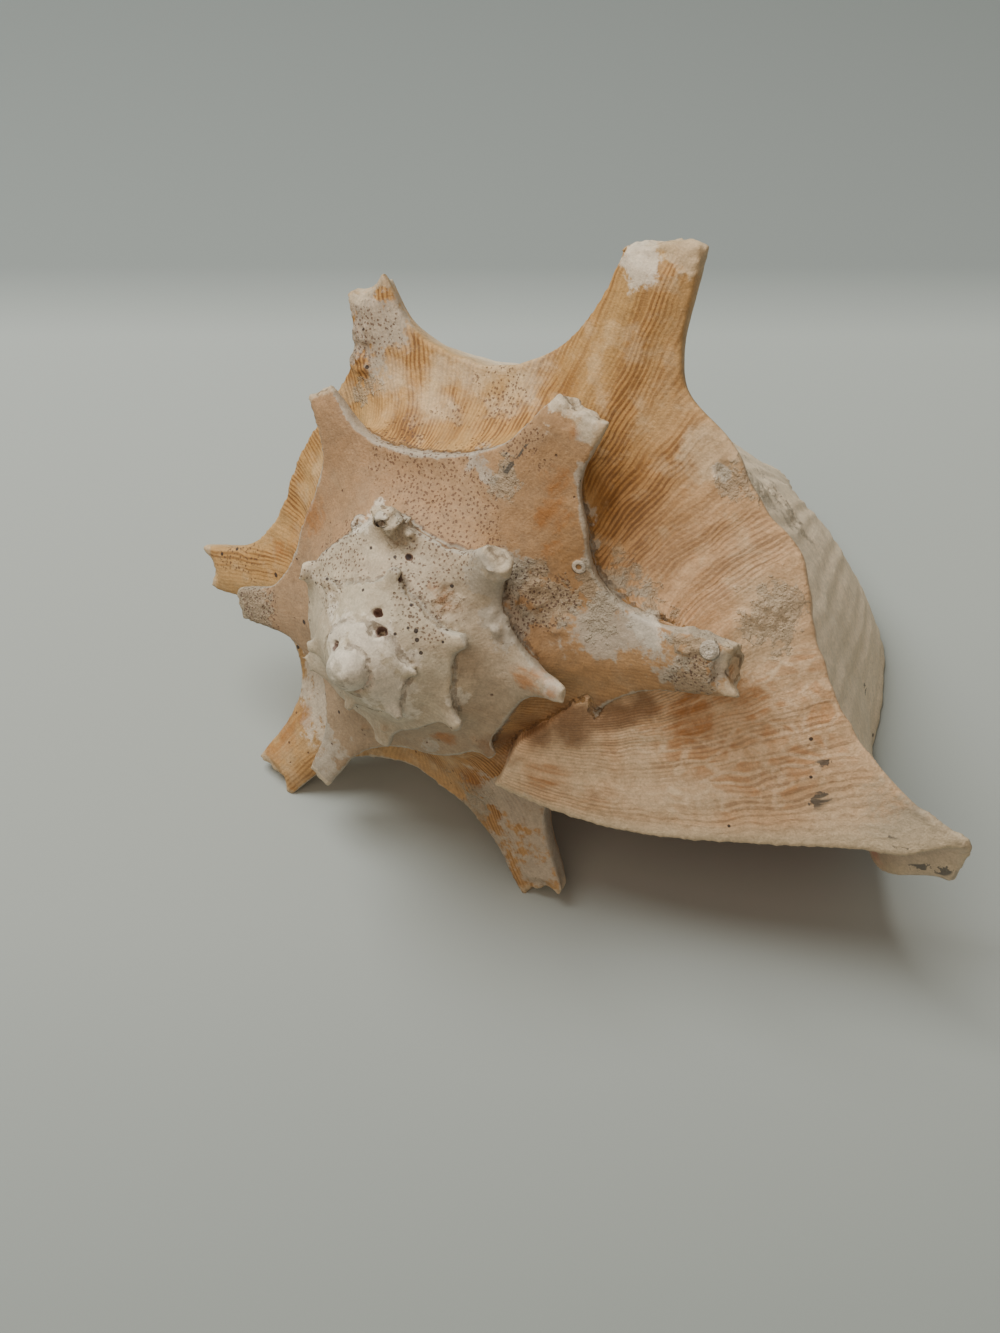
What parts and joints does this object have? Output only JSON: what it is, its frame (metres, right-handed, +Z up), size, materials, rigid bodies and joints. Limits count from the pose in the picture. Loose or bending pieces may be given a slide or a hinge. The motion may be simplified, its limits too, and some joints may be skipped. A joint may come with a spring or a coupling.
{
  "type": "queen conch shell",
  "caption": "Large weathered sea snail shell with a spiny conical spire, long blunt shoulder spines, a flared wing-like lip and an open aperture, lying on its spines and lip.",
  "frame": {"origin": "on the ground, under the middle of the shell's bounding box", "axes": "+Z up as the shell lies, +X towards the wing tip of the lip, +Y from the apex towards the front end"},
  "size_m": [0.2377, 0.2006, 0.1753],
  "materials": {
    "shell": "weathered aragonite: chalky white spire, cream ramp with orange-brown growth striae, pink glazed inside"
  },
  "bodies": {
    "root": {"conch_shell": "shell"}
  },
  "joints": []
}
